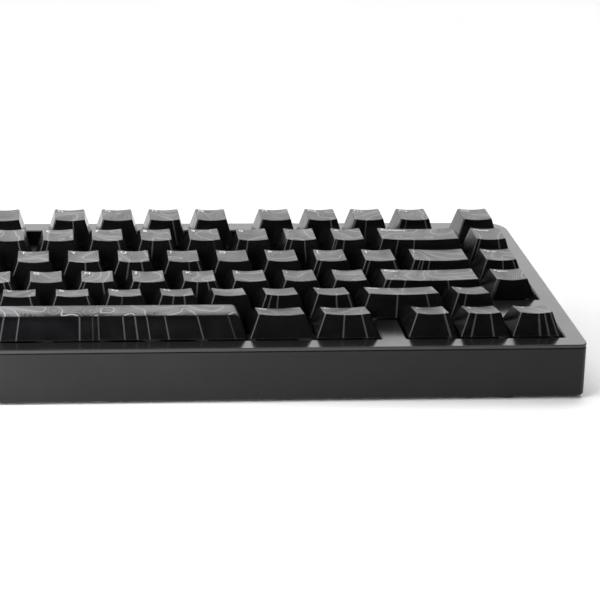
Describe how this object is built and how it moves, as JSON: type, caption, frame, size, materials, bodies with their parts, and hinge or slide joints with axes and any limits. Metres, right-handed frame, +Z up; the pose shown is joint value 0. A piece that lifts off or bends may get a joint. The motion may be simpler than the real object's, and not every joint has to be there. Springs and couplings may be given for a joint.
{
  "type": "mechanical keyboard",
  "caption": "Compact wedge-cased mechanical keyboard with sprung keys, a switch plate, board, battery and flip-out tilt feet.",
  "frame": {"origin": "under the middle of the case, on the surface that the rubber feet stand on", "axes": "+X to the typist's right along the long side, +Y away from the typist, +Z up"},
  "size_m": [0.3196, 0.1375, 0.0419],
  "materials": {
    "case_shell": "moulded ABS, fine satin texture, charcoal",
    "top_bezel": "moulded ABS, smooth satin, charcoal",
    "keycap": "black PBT, fine matte grain, with printed pale contour lines",
    "switch_plate": "powder-coated steel sheet, dark grey",
    "switch_housing": "moulded nylon, black",
    "circuit_board": "glass-epoxy board with dark solder mask",
    "foam": "open-cell foam sheet, dark grey",
    "battery_foil": "laminated foil pouch",
    "socket_metal": "nickel-plated drawn steel",
    "foot_rubber": "moulded silicone rubber, black"
  },
  "bodies": {
    "base": {"bottom_case": "case_shell", "top_case": "top_bezel", "switch_plate": "switch_plate", "switch_housings": "switch_housing", "circuit_board": "circuit_board", "case_foam": "foam", "usb_c_socket": "socket_metal", "battery": "battery_foil", "front_left_foot": "foot_rubber", "front_right_foot": "foot_rubber", "back_left_foot": "foot_rubber", "back_right_foot": "foot_rubber"},
    "left_tilt_foot": {"left_tilt_foot": "case_shell"},
    "right_tilt_foot": {"right_tilt_foot": "case_shell"},
    "key_escape": {"key_escape": "keycap"},
    "key_backspace": {"key_backspace": "keycap"},
    "key_tab": {"key_tab": "keycap"},
    "key_caps_lock": {"key_caps_lock": "keycap"},
    "key_enter": {"key_enter": "keycap"},
    "key_left_shift": {"key_left_shift": "keycap"},
    "key_right_shift": {"key_right_shift": "keycap"},
    "key_space": {"key_space": "keycap"},
    "key_arrow_up": {"key_arrow_up": "keycap"},
    "key_arrow_left": {"key_arrow_left": "keycap"},
    "key_arrow_down": {"key_arrow_down": "keycap"},
    "key_arrow_right": {"key_arrow_right": "keycap"},
    "key_q": {"key_q": "keycap"},
    "key_w": {"key_w": "keycap"},
    "key_e": {"key_e": "keycap"},
    "key_r": {"key_r": "keycap"},
    "key_t": {"key_t": "keycap"},
    "key_y": {"key_y": "keycap"},
    "key_u": {"key_u": "keycap"},
    "key_i": {"key_i": "keycap"},
    "key_o": {"key_o": "keycap"},
    "key_p": {"key_p": "keycap"},
    "key_a": {"key_a": "keycap"},
    "key_s": {"key_s": "keycap"},
    "key_d": {"key_d": "keycap"},
    "key_f": {"key_f": "keycap"},
    "key_g": {"key_g": "keycap"},
    "key_h": {"key_h": "keycap"},
    "key_j": {"key_j": "keycap"},
    "key_k": {"key_k": "keycap"},
    "key_l": {"key_l": "keycap"},
    "key_z": {"key_z": "keycap"},
    "key_x": {"key_x": "keycap"},
    "key_c": {"key_c": "keycap"},
    "key_v": {"key_v": "keycap"},
    "key_b": {"key_b": "keycap"},
    "key_n": {"key_n": "keycap"},
    "key_m": {"key_m": "keycap"},
    "key_function_row": {"key_function_row": "keycap"},
    "key_number_row": {"key_number_row": "keycap"},
    "key_brackets": {"key_brackets": "keycap"},
    "key_semicolon_quote": {"key_semicolon_quote": "keycap"},
    "key_comma_period_slash": {"key_comma_period_slash": "keycap"},
    "key_left_modifiers": {"key_left_modifiers": "keycap"},
    "key_right_modifiers": {"key_right_modifiers": "keycap"},
    "key_navigation_column": {"key_navigation_column": "keycap"}
  },
  "joints": [
    {"name": "left_tilt_foot_hinge", "type": "hinge", "parent": "base", "child": "left_tilt_foot", "pos_m": [-0.1, 0.05674, 0.0033], "axis": [1, 0, 0], "range_deg": [0, 90]},
    {"name": "right_tilt_foot_hinge", "type": "hinge", "parent": "base", "child": "right_tilt_foot", "pos_m": [0.1, 0.05674, 0.0033], "axis": [1, 0, 0], "range_deg": [0, 90]},
    {"name": "key_escape_press", "type": "slide", "parent": "base", "child": "key_escape", "axis": [0, 0.0872, -0.9962], "range_m": [0, 0.004], "stiffness_N_per_m": 90, "springref_m": -0.0034},
    {"name": "key_backspace_press", "type": "slide", "parent": "base", "child": "key_backspace", "axis": [0, 0.0872, -0.9962], "range_m": [0, 0.004], "stiffness_N_per_m": 90, "springref_m": -0.0034},
    {"name": "key_tab_press", "type": "slide", "parent": "base", "child": "key_tab", "axis": [0, 0.0872, -0.9962], "range_m": [0, 0.004], "stiffness_N_per_m": 90, "springref_m": -0.0034},
    {"name": "key_caps_lock_press", "type": "slide", "parent": "base", "child": "key_caps_lock", "axis": [0, 0.0872, -0.9962], "range_m": [0, 0.004], "stiffness_N_per_m": 90, "springref_m": -0.0034},
    {"name": "key_enter_press", "type": "slide", "parent": "base", "child": "key_enter", "axis": [0, 0.0872, -0.9962], "range_m": [0, 0.004], "stiffness_N_per_m": 90, "springref_m": -0.0034},
    {"name": "key_left_shift_press", "type": "slide", "parent": "base", "child": "key_left_shift", "axis": [0, 0.0872, -0.9962], "range_m": [0, 0.004], "stiffness_N_per_m": 90, "springref_m": -0.0034},
    {"name": "key_right_shift_press", "type": "slide", "parent": "base", "child": "key_right_shift", "axis": [0, 0.0872, -0.9962], "range_m": [0, 0.004], "stiffness_N_per_m": 90, "springref_m": -0.0034},
    {"name": "key_space_press", "type": "slide", "parent": "base", "child": "key_space", "axis": [0, 0.0872, -0.9962], "range_m": [0, 0.004], "stiffness_N_per_m": 90, "springref_m": -0.0034},
    {"name": "key_arrow_up_press", "type": "slide", "parent": "base", "child": "key_arrow_up", "axis": [0, 0.0872, -0.9962], "range_m": [0, 0.004], "stiffness_N_per_m": 90, "springref_m": -0.0034},
    {"name": "key_arrow_left_press", "type": "slide", "parent": "base", "child": "key_arrow_left", "axis": [0, 0.0872, -0.9962], "range_m": [0, 0.004], "stiffness_N_per_m": 90, "springref_m": -0.0034},
    {"name": "key_arrow_down_press", "type": "slide", "parent": "base", "child": "key_arrow_down", "axis": [0, 0.0872, -0.9962], "range_m": [0, 0.004], "stiffness_N_per_m": 90, "springref_m": -0.0034},
    {"name": "key_arrow_right_press", "type": "slide", "parent": "base", "child": "key_arrow_right", "axis": [0, 0.0872, -0.9962], "range_m": [0, 0.004], "stiffness_N_per_m": 90, "springref_m": -0.0034},
    {"name": "key_q_press", "type": "slide", "parent": "base", "child": "key_q", "axis": [0, 0.0872, -0.9962], "range_m": [0, 0.004], "stiffness_N_per_m": 90, "springref_m": -0.0034},
    {"name": "key_w_press", "type": "slide", "parent": "base", "child": "key_w", "axis": [0, 0.0872, -0.9962], "range_m": [0, 0.004], "stiffness_N_per_m": 90, "springref_m": -0.0034},
    {"name": "key_e_press", "type": "slide", "parent": "base", "child": "key_e", "axis": [0, 0.0872, -0.9962], "range_m": [0, 0.004], "stiffness_N_per_m": 90, "springref_m": -0.0034},
    {"name": "key_r_press", "type": "slide", "parent": "base", "child": "key_r", "axis": [0, 0.0872, -0.9962], "range_m": [0, 0.004], "stiffness_N_per_m": 90, "springref_m": -0.0034},
    {"name": "key_t_press", "type": "slide", "parent": "base", "child": "key_t", "axis": [0, 0.0872, -0.9962], "range_m": [0, 0.004], "stiffness_N_per_m": 90, "springref_m": -0.0034},
    {"name": "key_y_press", "type": "slide", "parent": "base", "child": "key_y", "axis": [0, 0.0872, -0.9962], "range_m": [0, 0.004], "stiffness_N_per_m": 90, "springref_m": -0.0034},
    {"name": "key_u_press", "type": "slide", "parent": "base", "child": "key_u", "axis": [0, 0.0872, -0.9962], "range_m": [0, 0.004], "stiffness_N_per_m": 90, "springref_m": -0.0034},
    {"name": "key_i_press", "type": "slide", "parent": "base", "child": "key_i", "axis": [0, 0.0872, -0.9962], "range_m": [0, 0.004], "stiffness_N_per_m": 90, "springref_m": -0.0034},
    {"name": "key_o_press", "type": "slide", "parent": "base", "child": "key_o", "axis": [0, 0.0872, -0.9962], "range_m": [0, 0.004], "stiffness_N_per_m": 90, "springref_m": -0.0034},
    {"name": "key_p_press", "type": "slide", "parent": "base", "child": "key_p", "axis": [0, 0.0872, -0.9962], "range_m": [0, 0.004], "stiffness_N_per_m": 90, "springref_m": -0.0034},
    {"name": "key_a_press", "type": "slide", "parent": "base", "child": "key_a", "axis": [0, 0.0872, -0.9962], "range_m": [0, 0.004], "stiffness_N_per_m": 90, "springref_m": -0.0034},
    {"name": "key_s_press", "type": "slide", "parent": "base", "child": "key_s", "axis": [0, 0.0872, -0.9962], "range_m": [0, 0.004], "stiffness_N_per_m": 90, "springref_m": -0.0034},
    {"name": "key_d_press", "type": "slide", "parent": "base", "child": "key_d", "axis": [0, 0.0872, -0.9962], "range_m": [0, 0.004], "stiffness_N_per_m": 90, "springref_m": -0.0034},
    {"name": "key_f_press", "type": "slide", "parent": "base", "child": "key_f", "axis": [0, 0.0872, -0.9962], "range_m": [0, 0.004], "stiffness_N_per_m": 90, "springref_m": -0.0034},
    {"name": "key_g_press", "type": "slide", "parent": "base", "child": "key_g", "axis": [0, 0.0872, -0.9962], "range_m": [0, 0.004], "stiffness_N_per_m": 90, "springref_m": -0.0034},
    {"name": "key_h_press", "type": "slide", "parent": "base", "child": "key_h", "axis": [0, 0.0872, -0.9962], "range_m": [0, 0.004], "stiffness_N_per_m": 90, "springref_m": -0.0034},
    {"name": "key_j_press", "type": "slide", "parent": "base", "child": "key_j", "axis": [0, 0.0872, -0.9962], "range_m": [0, 0.004], "stiffness_N_per_m": 90, "springref_m": -0.0034},
    {"name": "key_k_press", "type": "slide", "parent": "base", "child": "key_k", "axis": [0, 0.0872, -0.9962], "range_m": [0, 0.004], "stiffness_N_per_m": 90, "springref_m": -0.0034},
    {"name": "key_l_press", "type": "slide", "parent": "base", "child": "key_l", "axis": [0, 0.0872, -0.9962], "range_m": [0, 0.004], "stiffness_N_per_m": 90, "springref_m": -0.0034},
    {"name": "key_z_press", "type": "slide", "parent": "base", "child": "key_z", "axis": [0, 0.0872, -0.9962], "range_m": [0, 0.004], "stiffness_N_per_m": 90, "springref_m": -0.0034},
    {"name": "key_x_press", "type": "slide", "parent": "base", "child": "key_x", "axis": [0, 0.0872, -0.9962], "range_m": [0, 0.004], "stiffness_N_per_m": 90, "springref_m": -0.0034},
    {"name": "key_c_press", "type": "slide", "parent": "base", "child": "key_c", "axis": [0, 0.0872, -0.9962], "range_m": [0, 0.004], "stiffness_N_per_m": 90, "springref_m": -0.0034},
    {"name": "key_v_press", "type": "slide", "parent": "base", "child": "key_v", "axis": [0, 0.0872, -0.9962], "range_m": [0, 0.004], "stiffness_N_per_m": 90, "springref_m": -0.0034},
    {"name": "key_b_press", "type": "slide", "parent": "base", "child": "key_b", "axis": [0, 0.0872, -0.9962], "range_m": [0, 0.004], "stiffness_N_per_m": 90, "springref_m": -0.0034},
    {"name": "key_n_press", "type": "slide", "parent": "base", "child": "key_n", "axis": [0, 0.0872, -0.9962], "range_m": [0, 0.004], "stiffness_N_per_m": 90, "springref_m": -0.0034},
    {"name": "key_m_press", "type": "slide", "parent": "base", "child": "key_m", "axis": [0, 0.0872, -0.9962], "range_m": [0, 0.004], "stiffness_N_per_m": 90, "springref_m": -0.0034},
    {"name": "key_function_row_press", "type": "slide", "parent": "base", "child": "key_function_row", "axis": [0, 0.0872, -0.9962], "range_m": [0, 0.004], "stiffness_N_per_m": 1080, "springref_m": -0.0034},
    {"name": "key_number_row_press", "type": "slide", "parent": "base", "child": "key_number_row", "axis": [0, 0.0872, -0.9962], "range_m": [0, 0.004], "stiffness_N_per_m": 1170, "springref_m": -0.0034},
    {"name": "key_brackets_press", "type": "slide", "parent": "base", "child": "key_brackets", "axis": [0, 0.0872, -0.9962], "range_m": [0, 0.004], "stiffness_N_per_m": 270, "springref_m": -0.0034},
    {"name": "key_semicolon_quote_press", "type": "slide", "parent": "base", "child": "key_semicolon_quote", "axis": [0, 0.0872, -0.9962], "range_m": [0, 0.004], "stiffness_N_per_m": 180, "springref_m": -0.0034},
    {"name": "key_comma_period_slash_press", "type": "slide", "parent": "base", "child": "key_comma_period_slash", "axis": [0, 0.0872, -0.9962], "range_m": [0, 0.004], "stiffness_N_per_m": 270, "springref_m": -0.0034},
    {"name": "key_left_modifiers_press", "type": "slide", "parent": "base", "child": "key_left_modifiers", "axis": [0, 0.0872, -0.9962], "range_m": [0, 0.004], "stiffness_N_per_m": 270, "springref_m": -0.0034},
    {"name": "key_right_modifiers_press", "type": "slide", "parent": "base", "child": "key_right_modifiers", "axis": [0, 0.0872, -0.9962], "range_m": [0, 0.004], "stiffness_N_per_m": 180, "springref_m": -0.0034},
    {"name": "key_navigation_column_press", "type": "slide", "parent": "base", "child": "key_navigation_column", "axis": [0, 0.0872, -0.9962], "range_m": [0, 0.004], "stiffness_N_per_m": 360, "springref_m": -0.0034}
  ]
}
